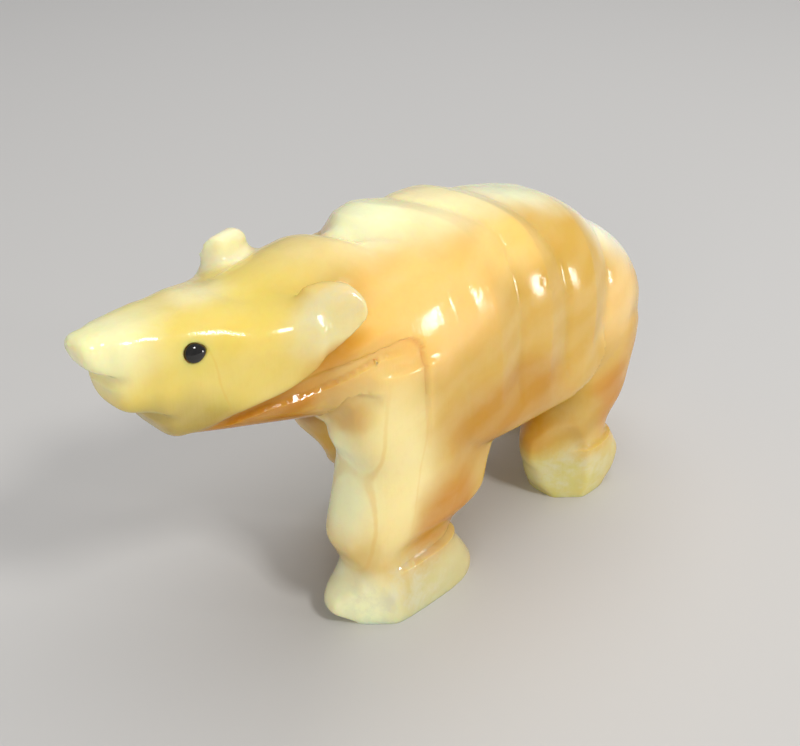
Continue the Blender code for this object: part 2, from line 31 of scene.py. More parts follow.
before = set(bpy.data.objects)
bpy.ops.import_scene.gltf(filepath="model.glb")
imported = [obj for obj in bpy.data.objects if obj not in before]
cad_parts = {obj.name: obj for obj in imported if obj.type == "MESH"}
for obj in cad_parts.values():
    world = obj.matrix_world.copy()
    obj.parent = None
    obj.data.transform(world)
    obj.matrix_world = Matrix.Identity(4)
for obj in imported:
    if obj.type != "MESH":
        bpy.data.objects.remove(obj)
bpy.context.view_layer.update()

scaleUnit = 0.001


def eased(low, high, value):
    # Smooth step: t squared times (3 - 2t), where t runs from 0 at low to 1 at high
    t = np.clip((value - low) / (high - low), 0, 1)
    return t * t * (3 - 2 * t)


def ramp(low, high, value):
    return np.clip((value - low) / (high - low), 0, 1)


def smoothKeys(keys, at):
    # Cubic Hermite curve through each column of the keys. Its slopes are the weighted harmonic
    # means of the neighbouring slopes, and 0 at a peak, so it never overshoots a key.
    keys = np.asarray(keys, float)
    x, y = keys[:, 0], keys[:, 1:]
    at = np.clip(at, x[0], x[-1])
    wide = np.diff(x)[:, None]
    slope = np.diff(y, axis=0) / wide
    near, far = 2 * wide[1:] + wide[:-1], wide[1:] + 2 * wide[:-1]
    steady = slope[:-1] * slope[1:] > 0
    before, after = np.where(steady, slope[:-1], 1), np.where(steady, slope[1:], 1)
    mean = (near + far) / (near / before + far / after)
    tangent = np.vstack([slope[:1], np.where(steady, mean, 0), slope[-1:]])
    i = np.clip(np.searchsorted(x, at) - 1, 0, len(wide) - 1)
    t = ((at - x[i]) / wide[i, 0])[:, None]
    curve = (2 * t**3 - 3 * t**2 + 1) * y[i] + (3 * t**2 - 2 * t**3) * y[i + 1]
    return curve + wide[i] * ((t**3 - 2 * t**2 + t) * tangent[i] + (t**3 - t**2) * tangent[i + 1])


def superWave(wave, roundness):
    # One coordinate of a superellipse: the sign of the wave times its size to the power 2 / roundness
    return np.sign(wave) * np.abs(wave) ** (2 / roundness)


def ringAngles(columns):
    angle = np.linspace(0, 2 * np.pi, columns, endpoint=False)
    return np.cos(angle)[None], np.sin(angle)[None]


def unit(vector):
    vector = np.asarray(vector, float)
    return vector / np.linalg.norm(vector)


def ringQuads(rows, columns, first=0):
    # The faces between rings of points, the first ring starting at the given point
    i = first + np.arange(rows - 1)[:, None] * columns
    j = np.arange(columns)[None]
    k = (j + 1) % columns
    return np.stack([i + j, i + k, i + columns + k, i + columns + j], axis=-1).reshape(-1, 4).tolist()


def tubeMesh(name, grid):
    # A grid of rings, with both ends closed by one face
    rows, columns = grid.shape[:2]
    ends = [list(range(columns))[::-1], list(range((rows - 1) * columns, rows * columns))]
    mesh = bpy.data.meshes.new(name)
    mesh.from_pydata(grid.reshape(-1, 3), [], ringQuads(rows, columns) + ends)
    return mesh


def vertexVectors(mesh, kind):
    flat = np.empty(len(mesh.vertices) * 3)
    mesh.vertices.foreach_get(kind, flat)
    return flat.reshape(-1, 3)


def meshPoints(mesh):
    return vertexVectors(mesh, "co")


def setPoints(mesh, points):
    mesh.vertices.foreach_set("co", np.ascontiguousarray(points).ravel())
    mesh.update()


def faceOutwards(mesh):
    work = bmesh.new()
    work.from_mesh(mesh)
    bmesh.ops.recalc_face_normals(work, faces=work.faces)
    work.to_mesh(mesh)
    work.free()


def bakedMesh(thing, name):
    # The object's mesh with its modifiers applied; the object itself is removed
    graph = bpy.context.evaluated_depsgraph_get()
    mesh = bpy.data.meshes.new_from_object(thing.evaluated_get(graph))
    mesh.name = name
    bpy.data.objects.remove(thing, do_unlink=True)
    return mesh


def newObject(name, data):
    made = bpy.data.objects.new(name, data)
    bpy.context.scene.collection.objects.link(made)
    return made


bodyShape = {
    # x, half width, top, widest height, bottom, roundness above and below
    "torso": (
        (-33, 10, 62.5, 53, 46, 2, 2.4),
        (-27, 14, 65.8, 52, 40, 2.1, 2.8),
        (-18, 17, 68.8, 49, 31.5, 2, 3.6),
        (-6, 18.6, 70.5, 46, 26, 2.2, 5.5),
        (6, 19.1, 69.2, 44, 25.2, 2.3, 8),
        (24, 19.3, 65, 42, 24.8, 2.4, 8),
        (36, 18.8, 61.1, 40, 23.6, 2.4, 4.6),
        (48, 16.2, 52.8, 38, 22.4, 2.3, 3.2),
        (55, 12, 45, 36, 22.8, 2.2, 2.4),
        (58.6, 7.6, 40.2, 35, 25.8, 2.1, 2.2),
        (60.2, 3.6, 37.2, 34, 29.4, 2, 2),
        (60.6, 1.2, 35.2, 34, 32.4, 2, 2),
    ),
    "neck": (
        (-52, 5.8, 65.6, 57, 46.4, 2.2, 2.8),
        (-44, 7.6, 66.6, 56, 44.2, 2.2, 2.8),
        (-36, 9.8, 67.5, 55, 42.3, 2.2, 2.8),
        (-28, 12.6, 68.6, 54, 40.5, 2.1, 2.8),
        (-20, 14.8, 70.5, 52, 38, 2, 2.8),
        (-12, 14.6, 68.8, 52, 36, 2, 2.8),
    ),
    "head": (
        (-65.9, 1.9, 66.6, 65.3, 64.2, 2.4, 2.2),
        (-65.2, 2.9, 67.1, 65.1, 63.2, 2.8, 2.4),
        (-64.2, 3.4, 67.4, 64.5, 62.1, 3, 2.8),
        (-62.6, 3.6, 67.5, 63.4, 60.6, 3, 3.2),
        (-62, 4, 67.6, 62.9, 58, 3, 3.4),
        (-61.4, 4.6, 67.6, 62.6, 55.4, 3, 3.4),
        (-60.2, 5.3, 67.5, 62.2, 54.2, 3, 3.6),
        (-57, 6.2, 67.6, 61, 52.9, 3, 3.6),
        (-56.1, 6.7, 67.6, 60.6, 51, 2.9, 3.8),
        (-55, 7.1, 67.6, 60.2, 48.7, 2.8, 4),
        (-53.6, 7.4, 67.7, 60, 47.8, 2.7, 4.4),
        (-50.6, 8.3, 67.5, 60, 47.9, 2.5, 5),
        (-48.9, 8.9, 67.5, 60, 48.3, 2.4, 5.5),
        (-47.2, 9.6, 67.7, 60, 48.8, 2.2, 6),
        (-44, 11, 67.2, 60, 50.1, 2.1, 7),
        (-40, 12.2, 66.2, 60.6, 50.8, 2.1, 7),
        (-36, 13.6, 65.6, 61.4, 52.2, 2.1, 6),
        (-33, 15, 65.5, 62, 54.6, 2.1, 5),
        (-31, 14.2, 64.8, 62.4, 56.8, 2.2, 3),
    ),
    "rows": {"body": 140, "ear": 60, "leg": 100},
    "columns": 88,
    "cell": 0.54,              # the grid that welds the lofts into one skin
    "softening": (0.5, 5),     # strength and passes of the smoothing that rounds the joins
    "sharpAngle": 50,          # degrees; a sharper edge isn't shaded smooth
}


def bodySurface(keys, rows, columns):
    # Superellipse rings across X: half width times cosine to the side, and from the widest
    # height up to the top or down to the bottom times sine
    x = np.linspace(keys[0][0], keys[-1][0], rows)
    half, top, widest, bottom, above, below = (c[:, None] for c in smoothKeys(keys, x).T)
    across, upward = ringAngles(columns)
    roundness = np.where(upward >= 0, above, below)
    reach = np.where(upward >= 0, top - widest, widest - bottom)
    y = half * superWave(across, roundness)
    z = widest + reach * superWave(upward, roundness)
    return np.stack([np.broadcast_to(x[:, None], y.shape), y, z], axis=-1)


legShape = {
    # height, centre x, centre y outwards, half length, half width, roundness inside and outside
    "foreLeft": (
        (-3, -15, 11.1, 11.6, 6.8, 2.4, 3.2),
        (0, -12.9, 11.1, 13.6, 7.9, 2.6, 3.4),
        (2.5, -14.4, 11.1, 15.5, 8, 2.6, 3.4),
        (5, -14.9, 11.1, 14.6, 7.9, 2.4, 3.4),
        (7.5, -14.5, 11, 12.6, 7.7, 2.3, 3.2),
        (10, -14.6, 10.9, 11.6, 7.5, 2.2, 3),
        (13, -14.1, 10.7, 12.9, 7.6, 2.3, 3),
        (18, -11.6, 10.4, 16.6, 8.5, 2.5, 3),
        (22, -10.5, 10.3, 16.2, 8.8, 2.6, 3),
        (27, -8.6, 10.2, 16.6, 8.8, 2.8, 3),
        (31, -7.8, 10.1, 16.3, 8.8, 3, 3),
        (36, -9.1, 10, 16.7, 8.8, 3, 3),
        (50, -10.6, 10, 15, 8.4, 3, 3),
    ),
    "foreRight": (
        (-3, 7.2, 11.1, 11.2, 6.8, 2.6, 3.2),
        (0, 7.2, 11.1, 12.4, 7.4, 2.6, 3.4),
        (3, 6.9, 11.1, 13.4, 7.7, 2.6, 3.4),
        (8, 5.8, 11.1, 12.2, 7.6, 2.4, 3.2),
        (11, 4.6, 11, 11.6, 7.5, 2.3, 3),
        (16, 1.6, 10.8, 12.8, 8, 2.5, 2.7),
        (24, -2.2, 10.6, 13.8, 8.3, 2.6, 2.7),
        (36, -6.7, 10.2, 13.9, 8.3, 2.8, 2.5),
        (50, -11.5, 10, 15.2, 8.2, 2.8, 2.5),
    ),
    "hindLeft": (
        (-3, 35.8, 11.6, 7.4, 6.2, 2.6, 2.8),
        (0, 35.4, 11.6, 7.7, 7.1, 2.6, 2.8),
        (3, 36.2, 11.7, 10.2, 7.4, 2.6, 2.8),
        (6, 36.1, 11.7, 11, 7.6, 2.6, 2.8),
        (9, 34.6, 11.7, 10.8, 7.7, 2.4, 2.8),
        (13, 33.4, 11.5, 9.9, 7.7, 2.4, 2.7),
        (16, 35.1, 11.2, 10, 7.4, 2.4, 2.6),
        (22, 39.4, 10.8, 10.1, 7.2, 2.4, 2.6),
        (34, 41.2, 10.5, 11.8, 7.1, 2.6, 2.5),
        (44, 39, 9, 8, 6, 2.4, 2.2),
    ),
    "hindRight": (
        (-3, 52, 11.4, 7.2, 6.2, 2.6, 2.8),
        (0, 52, 11.4, 7.8, 6.9, 2.6, 2.8),
        (4, 52.2, 11.4, 10.2, 7.5, 2.6, 2.8),
        (9, 51, 11.4, 10.2, 7.6, 2.4, 2.8),
        (12.5, 49.8, 11.2, 9.5, 7.4, 2.4, 2.7),
        (16, 48.8, 11, 9.2, 7.2, 2.4, 2.6),
        (24, 46.2, 10.8, 10, 7.1, 2.4, 2.6),
        (34, 44, 10.4, 10.6, 7, 2.6, 2.5),
        (44, 40, 9, 8, 6, 2.4, 2.2),
    ),
}


def legSurface(keys, rows, columns, side):
    # Level superellipse rings from under the sole up into the body, squarer on the outside
    z = np.linspace(keys[0][0], keys[-1][0], rows)
    x, y, length, width, inside, outside = (c[:, None] for c in smoothKeys(keys, z).T)
    along, across = ringAngles(columns)
    roundness = np.where(across >= 0, outside, inside)
    x = x + length * superWave(along, roundness)
    y = side * (y + width * superWave(across, roundness))
    return np.stack([x, y, np.broadcast_to(z[:, None], x.shape)], axis=-1)


earShape = {
    # x, lower edge, upper edge, thickness
    "left": (
        (-40, 53.2, 58.4, 2),
        (-37.2, 54.2, 62.4, 3.2),
        (-35.6, 55, 64.8, 3.8),
        (-33.8, 56, 66.6, 4),
        (-32.2, 57, 67.4, 4),
        (-30.5, 58.2, 67.6, 4),
        (-28.2, 60.1, 67.4, 3.8),
        (-26.9, 61.6, 66.5, 3),
        (-26.2, 62.8, 65.2, 1.6),
    ),
    "right": (
        (-35.4, 62, 66.4, 2.2),
        (-35, 59.5, 68.8, 3.2),
        (-34.2, 57, 69.5, 4.2),
        (-32, 57, 69.6, 5),
        (-29.8, 57.5, 69.4, 5.4),
        (-28.2, 58.5, 67.8, 5.4),
        (-26.6, 59.5, 65.2, 5),
        (-25, 60.5, 63.4, 4),
        (-24.2, 61.2, 62.6, 2),
    ),
    "cheek": (-60.0, 5.4, 0.364),      # x where the cheek plane stands so far out, and its spread
    "lean": {"left": 0.32, "right": 0.22},   # how far each plate leans in for each millimetre up
    "roundness": (2.8, 2.6),
}


def cheekPlane(x):
    at, out, spread = earShape["cheek"]
    return out + spread * (x - at)


def earSurface(rows, columns, name):
    # Upright superellipse rings along the cheek plane, leaning in towards the top, each as thick
    # and as high as the plate is there, with its outer face on the plane
    keys, side = earShape[name], -1 if name == "left" else 1
    t = (1 - np.cos(np.linspace(0, np.pi, rows))) / 2
    x = keys[0][0] + (keys[-1][0] - keys[0][0]) * t
    low, high, thick = (c[:, None] for c in smoothKeys(keys, x).T)
    across, upward = ringAngles(columns)
    out = unit((cheekPlane(0) - cheekPlane(1), 1, 0))
    z = (low + high) / 2 + (high - low) / 2 * superWave(upward, earShape["roundness"][1])
    y = cheekPlane(x)[:, None] - earShape["lean"][name] * (z - low)
    inward = thick / 2 * (superWave(across, earShape["roundness"][0]) - 1)
    rings = np.stack([x[:, None] + out[0] * inward, y + out[1] * inward, z], axis=-1)
    return rings * (1, side, 1)


planedFaces = {
    # a point on each flat, its outward direction, and the height it reaches up to
    "foreLeft": (
        ((-24.5, -15.8, 0), (-0.69, -0.72, -0.05), 26),
        ((-7.0, -19.0, 25), (0.22, -0.97, 0.05), 38),
    ),
    "foreRight": (((-4.8, 16.0, 0), (-0.69, 0.72, -0.05), 26),),
    "hindLeft": (((30.0, -16.4, 0), (-0.68, -0.73, -0.04), 26),),
    "hindRight": (((45.2, 16.2, 0), (-0.68, 0.73, -0.04), 24),),
    "head": (((-65.7, 0, 65.5), (-0.96, 0, -0.28), 80),),
}


flatFade = 8.0    # each flat runs out over so much of its upper end


def planed(name, points):
    # Whatever stands proud of one of the loft's flats is brought back onto it
    for at, way, reach in planedFaces.get(name, ()):
        way = unit(way)
        over = np.maximum((points - at) @ way, 0) * (1 - eased(reach - flatFade, reach, points[..., 2]))
        points = points - over[..., None] * way
    return points


def weldedSkin(grids):
    # All lofts in one mesh, rebuilt as the single surface round them, softened at the joins
    work = bmesh.new()
    for name, grid in grids.items():
        mesh = tubeMesh(name, planed(name, grid))
        faceOutwards(mesh)
        work.from_mesh(mesh)
        bpy.data.meshes.remove(mesh)
    mesh = bpy.data.meshes.new("block")
    work.to_mesh(mesh)
    work.free()
    block = newObject("block", mesh)
    weld = block.modifiers.new("weld", "REMESH")
    weld.mode = "VOXEL"
    weld.voxel_size = bodyShape["cell"]
    weld.adaptivity = 0
    soften = block.modifiers.new("soften", "SMOOTH")
    soften.factor, soften.iterations = bodyShape["softening"]
    return bakedMesh(block, "onyx_bear")


earBlend = {
    # where the ears grow out of the head: centre and radii
    "places": (((-37, -11, 64), (6, 7, 5)), ((-26, 10, 64.5), (6, 7, 3.5)), ((-35, 9, 64), (5, 6, 3.5))),
    "core": 0.5,               # share of the radii inside which it works in full
    "passes": 70,
    "strength": 0.6,
}


def blended(mesh, points):
    # Round the ears every point moves towards the mean of its neighbours, pass by pass
    share = np.zeros(len(points))
    for centre, radii in earBlend["places"]:
        far = np.linalg.norm((points - centre) / radii, axis=1)
        share = np.maximum(share, 1 - eased(earBlend["core"], 1.0, far))
    edges = np.empty(len(mesh.edges) * 2, int)
    mesh.edges.foreach_get("vertices", edges)
    edges = edges.reshape(-1, 2)
    edges = edges[(share[edges] > 0).any(axis=1)]
    one, other = np.vstack([edges, edges[:, ::-1]]).T
    count = np.maximum(np.bincount(one, minlength=len(points)), 1)[:, None]
    pull = (earBlend["strength"] * share)[:, None]
    for turn in range(earBlend["passes"]):
        total = [np.bincount(one, points[other, axis], len(points)) for axis in range(3)]
        points = points + pull * (np.stack(total, axis=-1) / count - points)
    return points


bandCut = {
    # each valley's x on the flank at mid height, its lean, how far the crown is swept,
    # and how far out from the crown's middle the sweep reaches
    "rings": (
        (-4.5, -0.16, -8.9, 15.0),
        (9.7, -0.02, -10.2, 16.0),
        (22.7, -0.03, -5.4, 22.0),
        (36.2, 0.05, 8.6, 23.0),
    ),
    "midHeight": 45.0,
    "middle": 3.0,             # y of the crown's middle
    "sweepPower": 1.9,
    "sweepFoot": (40, 52),     # heights over which the sweep sets in
    "depth": 1.4,
    # height along a band, from valley to valley: a riser, a rounded climb to the crest, and a fall
    "profile": ((0, 0.10, 0.22, 0.34, 0.45, 0.55, 1), (0, 0.40, 0.64, 0.82, 0.94, 1, 0)),
    "firstProfile": ((0, 0.28, 0.55, 1), (0, 0.86, 1, 0)),
    "firstStep": (0.8, 2.9),   # depth of the first valley on the flank and over the crown
    "narrowest": 0.5,          # least distance between two valleys that the profile is read over
    "lastWidth": 16.0,         # behind the last valley, where its band ends
    "spine": (3, 14),          # from the crown's middle, where the crown's step ends
    "crownHalf": 13.0,
    "crownFoot": (54, 62),
    "neckFade": (12, 1.5),     # how far in front of the first valley its step runs out, and its curve
    "lowFade": (29, 38),       # heights where the rings die out low on the flank
    "lipFade": (17, 24),
    "spineShallow": 0.25,      # share of the depth that is missing over the spine
    # on the left the last valley turns forward under the flank as the lip over the thigh
    "lip": {
        "corner": 8.3,
        "from": 37.0,          # height where it starts to turn
        "stretch": 0.89,
        "power": 2.2,
        "blend": (31, 40),     # heights over which the step takes the place of the last band
        "step": (0.5, 9.0),    # how far behind the valley its depth holds, and where it is gone
    },
}


def bandProfile(order):
    return bandCut["profile"] if order else bandCut["firstProfile"]


def bandGaps(points):
    # How far each point is behind every valley, in millimetres along the body
    x, y, z = points.T
    cut, lip = bandCut, bandCut["lip"]
    gaps = []
    for at, lean, sweep, reach in cut["rings"]:
        crown = np.clip(1 - ((y - cut["middle"]) / reach) ** 2, 0, 1) ** cut["sweepPower"]
        crown = crown * eased(*cut["sweepFoot"], z)
        gaps.append(x - (at + lean * (z - cut["midHeight"]) + sweep * crown))
    behind = np.maximum(gaps[-1] + lip["corner"], 0)
    below = np.maximum(lip["from"] - z, 0) * lip["stretch"]
    turned = (behind ** lip["power"] + below ** lip["power"]) ** (1 / lip["power"]) - lip["corner"]
    gaps[-1] = np.where((y < 0) & (below > 0) & (behind > 0), turned, gaps[-1])
    return gaps


def bandShares(points):
    # For each band, 0 at its front valley and 1 at the next one
    gaps = bandGaps(points)
    shares = []
    for front, back in zip(gaps, gaps[1:]):
        shares.append(front / np.maximum(front - back, bandCut["narrowest"]))
    return shares + [gaps[-1] / bandCut["lastWidth"]]


def bandDepth(points):
    # Height along each band is read off its profile, and depth is what is left below the crest.
    # In front of the first valley its step runs out along the neck, by one minus the share of the way.
    x, y, z = points.T
    cut, lip = bandCut, bandCut["lip"]
    gaps, shares = bandGaps(points), bandShares(points)
    crown = np.clip(1 - (y / cut["crownHalf"]) ** 2, 0, 1) * eased(*cut["crownFoot"], z)
    flank, spine = cut["firstStep"]
    high = (1 - eased(*cut["spine"], np.abs(y - cut["middle"]))) * eased(*cut["crownFoot"], z)
    step = flank + (spine - flank) * high
    plain = cut["depth"] * (1 - cut["spineShallow"] * crown)
    under = (1 - eased(*lip["blend"], z)) * (y < 0)
    far, curve = cut["neckFade"]
    depth = step * (1 - ramp(0, far, -gaps[0])) ** curve
    for order, t in enumerate(shares):
        crest = bandProfile(order)[0][-2]
        low = 1 - np.interp(t, *bandProfile(order))
        last = order == len(shares) - 1
        if last:
            low = np.where(t > crest, 0, low)
            low = low + (1 - eased(*lip["step"], gaps[-1]) - low) * under
        if order == len(shares) - 2:
            low = np.where(t > crest, low * (1 - under), low)
        valley = step if order == 0 else plain
        inside = (gaps[order] >= 0) & ((t < 1) | last)
        depth = np.where(inside, low * np.where(t < crest, valley, plain), depth)
    lowDown = np.where(gaps[-1] > 0, eased(*cut["lipFade"], z), eased(*cut["lowFade"], z))
    return depth * lowDown


# how near to a crease, in cells, a point slides onto it; least squared slope of the field; trial step
creaseSlide = {"reach": 0.5, "leastSlope": 0.15, "step": 0.05}


def slideOnto(points, normals, field, keep):
    # Points near the line where the field is 0 slide onto it along the surface, so that the crease
    # carved there runs clean through the grid. The slope of the field comes from three small steps.
    step, least = creaseSlide["step"], creaseSlide["leastSlope"]
    value = field(points)
    slope = np.stack([(field(points + step * axis) - value) / step for axis in np.eye(3)], axis=-1)
    slope = slope - normals * (slope * normals).sum(axis=1)[:, None]
    steep = (slope ** 2).sum(axis=1)
    reach = bodyShape["cell"] * creaseSlide["reach"] * np.sqrt(steep)
    near = keep & (steep > least) & (np.abs(value) < reach)
    return points - np.where(near, value / np.maximum(steep, least), 0)[:, None] * slope


def cleanCreases(points, normals):
    x, y, z = points.T
    tall = z > bandCut["lipFade"][1]
    for order in range(len(bandCut["rings"])):
        stations = bandProfile(order)[0]
        for share in (0, stations[1], stations[-2]):
            points = slideOnto(points, normals, lambda p: bandShares(p)[order] - share, tall)
    drop, out, edge = archCut["crease"]
    keep = (z > archCut["top"] - drop) & (y < -out)
    points = slideOnto(points, normals, lambda p: archField(p) - edge, keep)
    points = slideOnto(points, normals, neckField, (x > neckCut["ends"][0]) & (x < neckCut["ends"][3]))
    front, out = armpitCut["crease"]
    keep = (x < armpitCut["front"][0]) & (y < -out) & (x > front)
    points = slideOnto(points, normals, armpitField, keep)
    for place in ankleCut["places"]:
        keep = ankleWeight(points, place) > ankleCut["crease"]
        points = slideOnto(points, normals, lambda p: p[:, 2] - place[3], keep)
    return points


archCut = {
    "back": -13.8,
    "top": 56.0,
    "slope": 0.2,
    "corner": 4.5,
    "depth": 1.0,
    "edge": (0.92, 1.04),      # corner radii over which the step rises
    "runOut": (27, 5),         # below the top, where the step ends and where it is full
    "out": (6, 10),
    "front": (-34, -27),
    "crease": (12, 8, 0.98),   # down from the top, out from the middle, and at so many corner radii
}


def archField(points):
    # Distance from the centre of the arch's rounded corner, in corner radii
    x, y, z = points.T
    cut = archCut
    behind = np.maximum(1 + (x - cut["back"]) / cut["corner"], 0)
    over = np.maximum(1 + (z - cut["top"] - cut["slope"] * (x - cut["back"])) / cut["corner"], 0)
    return np.hypot(behind, over)


def archDepth(points):
    # The front of the left foreleg lies a step lower, under the arch
    x, y, z = points.T
    cut = archCut
    under = 1 - eased(*cut["edge"], archField(points))
    gone, full = cut["runOut"]
    fade = eased(cut["top"] - gone, cut["top"] - full, z) * eased(*cut["out"], -y)
    return cut["depth"] * under * (fade * eased(*cut["front"], x))


neckCut = {
    # x and height of the edge that runs along the side of the neck, under the cheek
    "edge": ((-45.0, 46.6), (-38.7, 47.9), (-32.0, 48.5), (-27.4, 50.2), (-21.8, 52.4)),
    "hollow": 0.9,             # depth above the edge
    "spread": (0.5, 2.2, 5.0), # full depth from, to, and gone at, above the edge
    "ends": (-49.0, -44.0, -22.0, -16.0),
    "out": (3.0, 6.0),
}


def stepShape(spread, past):
    # 0 at the edge, 1 from the first to the second distance past it, and 0 again from the third
    rise, hold, gone = spread
    return ramp(0, rise, past) * (1 - eased(hold, gone, past))


def neckField(points):
    return points[:, 2] - smoothKeys(neckCut["edge"], points[:, 0])[:, 0]


def neckDepth(points):
    # A hollow under the cheek: full depth just above the edge, fading out upwards
    x, y, z = points.T
    cut, shape = neckCut, stepShape(neckCut["spread"], neckField(points))
    near, full, hold, far = cut["ends"]
    along = eased(near, full, x) * (1 - eased(hold, far, x))
    return cut["hollow"] * shape * along * eased(*cut["out"], np.abs(y))


armpitCut = {
    # distance out and height of the edge where the chest overhangs the left foreleg
    "edge": ((5.0, 40.4), (7.5, 41.6), (11.4, 44.4), (13.2, 46.4), (14.6, 47.0), (17.0, 46.9)),
    "depth": 0.8,
    "spread": (0.4, 1.0, 4.5), # full depth from, to, and gone at, below the edge
    "front": (-21.5, -24.5),   # x from where it sets in to where it is full
    "out": (4.0, 6.5),
    "crease": (-34, 5),        # behind this x, and so far out from the middle
}


def armpitField(points):
    return smoothKeys(armpitCut["edge"], -points[:, 1])[:, 0] - points[:, 2]


def armpitDepth(points):
    # A step below the chest's lower edge, on the front of the foreleg
    x, y, z = points.T
    cut, shape = armpitCut, stepShape(armpitCut["spread"], armpitField(points))
    back, front = cut["front"]
    return cut["depth"] * shape * eased(-back, -front, -x) * eased(*cut["out"], -y)


ankleCut = {
    # centre x and y, reach, height of the paw's upper edge, depth all round and on the outer rear
    "places": (
        (-14.0, -11.0, 20.0, 10.4, 0.25, 1.3),
        (5.0, 11.0, 18.0, 10.2, 0.25, 1.2),
        (34.0, -11.5, 15.0, 11.8, 0.2, 0.8),
        (50.0, 11.4, 15.0, 12.4, 0.2, 1.1),
    ),
    "way": (0.5, 0.87),        # direction of the sharp part of the edge, backwards and outwards
    "turn": (0.05, 0.6),
    "spread": (0.5, 2.2, 8.0), # full depth from, to, and gone at, above the edge
    "softRise": (-3, 1.5),
    "crease": 0.3,             # least weight at which the edge is a crease
    "middle": 0.01,            # keeps a point in the leg's very middle from a division by 0
}


def ankleWeight(points, place):
    # 1 where a point lies backwards and outwards from the leg's middle, 0 in front and inside
    atX, atY, reach = place[:3]
    x, y = points[:, 0] - atX, (points[:, 1] - atY) * np.sign(atY)
    far = np.hypot(x, y) + ankleCut["middle"]
    facing = (x * ankleCut["way"][0] + y * ankleCut["way"][1]) / far
    near = (np.abs(x) < reach) & (points[:, 1] * atY > 0)
    return eased(*ankleCut["turn"], facing) * near


def ankleDepth(points):
    # Above each paw's upper edge the leg steps in and fills out again higher up
    x, y, z = points.T
    depth = np.zeros(len(points))
    rise, hold, gone = ankleCut["spread"]
    for place in ankleCut["places"]:
        above = z - place[3]
        fill = 1 - eased(hold, gone, above)
        near = (np.abs(x - place[0]) < place[2]) & (y * place[1] > 0)
        weight = ankleWeight(points, place)
        soft, sharp = place[4:]
        softStep, sharpStep = soft * eased(*ankleCut["softRise"], above), sharp * ramp(0, rise, above)
        depth += near * fill * ((1 - weight) * softStep + weight * sharpStep)
    return depth


chipCut = {
    # small knocks on the left flank: x, height, reach, depth
    "places": (
        (15.3, 54.5, 0.7, 0.12),
        (17.1, 53.1, 0.8, 0.14),
        (18.4, 51.9, 0.6, 0.10),
        (27.5, 38.2, 0.6, 0.1),
    ),
    "ragged": (2.0, 3.0, 0.3), # how often, in two waves, and how far the rim of a knock goes in and out
    "out": 10,
}


def chipDepth(points):
    # Shallow bowls with a ragged rim: depth times one minus the squared distance in reaches
    x, y, z = points.T
    depth = np.zeros(len(points))
    slow, fast, far = chipCut["ragged"]
    for atX, atZ, reach, deep in chipCut["places"]:
        angle = np.arctan2(z - atZ, x - atX)
        edge = reach * (1 + far * np.sin(slow * angle + atX) * np.cos(fast * angle))
        away = np.hypot(x - atX, z - atZ) / edge
        depth += deep * np.clip(1 - away ** 2, 0, 1) * (y < -chipCut["out"])
    return depth


mouthCut = {
    # front end's x, height, depth and half width of the grooves under the upper and the lower lip
    "lines": ((-62.9, 60.4, 1.0, 1.4), (-56.8, 52.6, 0.9, 1.3)),
    "fade": (0.3, 3.2),        # where each runs out, behind its front end
}


def mouthDepth(points):
    # V grooves round the muzzle: depth times one minus the height from the line over its half width
    x, y, z = points.T
    depth = np.zeros(len(points))
    for at, level, deep, half in mouthCut["lines"]:
        groove = deep * np.clip(1 - np.abs(z - level) / half, 0, 1)
        depth += groove * (1 - eased(*mouthCut["fade"], x - at))
    return depth


eyeShape = {
    "at": (-51.3, 62.6),       # x and z on the cheek
    "around": 1.6,             # the cheek's slope is the mean of points so far round it
    "start": 20.0,             # the lines that look for the cheek start so far out
    "radius": 1.45,
    "dome": 0.75,
    "depth": 1.7,
    "foot": (0.85, 0.8),       # shares of the radius and the depth where the foot is rounded
    "gap": 0.1,                # between the bead and the drilled socket
    "corner": (0.22, 7),       # how far the bead is drawn out to the rear, in radii, and how sharply
    "sink": (0.4, 0.16),       # the countersink's width, and its height either way
    "clear": (1.6, 3.0),       # how far the socket's cutter stands out round and above the hole
    "rings": 15,
    "columns": {"bead": 64, "socket": 72},
}


def turnedMesh(name, profile, place):
    # A profile of (radius, height) turned round the place's Z axis, closed by a pole at each end.
    # Each ring is a circle whose radius grows by a power of the cosine of the angle to the rear.
    profile, columns = np.asarray(profile, float), eyeShape["columns"][name]
    across, upward = ringAngles(columns)
    radius, height = profile[1:-1, 0][:, None], profile[1:-1, 1][:, None]
    rear, (far, sharp) = unit(np.array(place)[0, :2]), eyeShape["corner"]
    wide = radius * (1 + far * np.clip(across * rear[0] + upward * rear[1], 0, 1) ** sharp)
    rings = np.stack([wide * across, wide * upward, np.broadcast_to(height, wide.shape)], axis=-1)
    points = np.vstack([[(0, 0, profile[0, 1])], rings.reshape(-1, 3), [(0, 0, profile[-1, 1])]])
    rows = len(radius)
    j = np.arange(columns)
    k = (j + 1) % columns
    foot = np.stack([np.zeros(columns, int), 1 + k, 1 + j], axis=-1)
    last = 1 + (rows - 1) * columns
    head = np.stack([last + j, last + k, np.full(columns, len(points) - 1)], axis=-1)
    turn, shift = np.array(place)[:3, :3], np.array(place)[:3, 3]
    mesh = bpy.data.meshes.new(name)
    faces = ringQuads(rows, columns, 1) + foot.tolist() + head.tolist()
    mesh.from_pydata(points @ turn.T + shift, [], faces)
    faceOutwards(mesh)
    return mesh


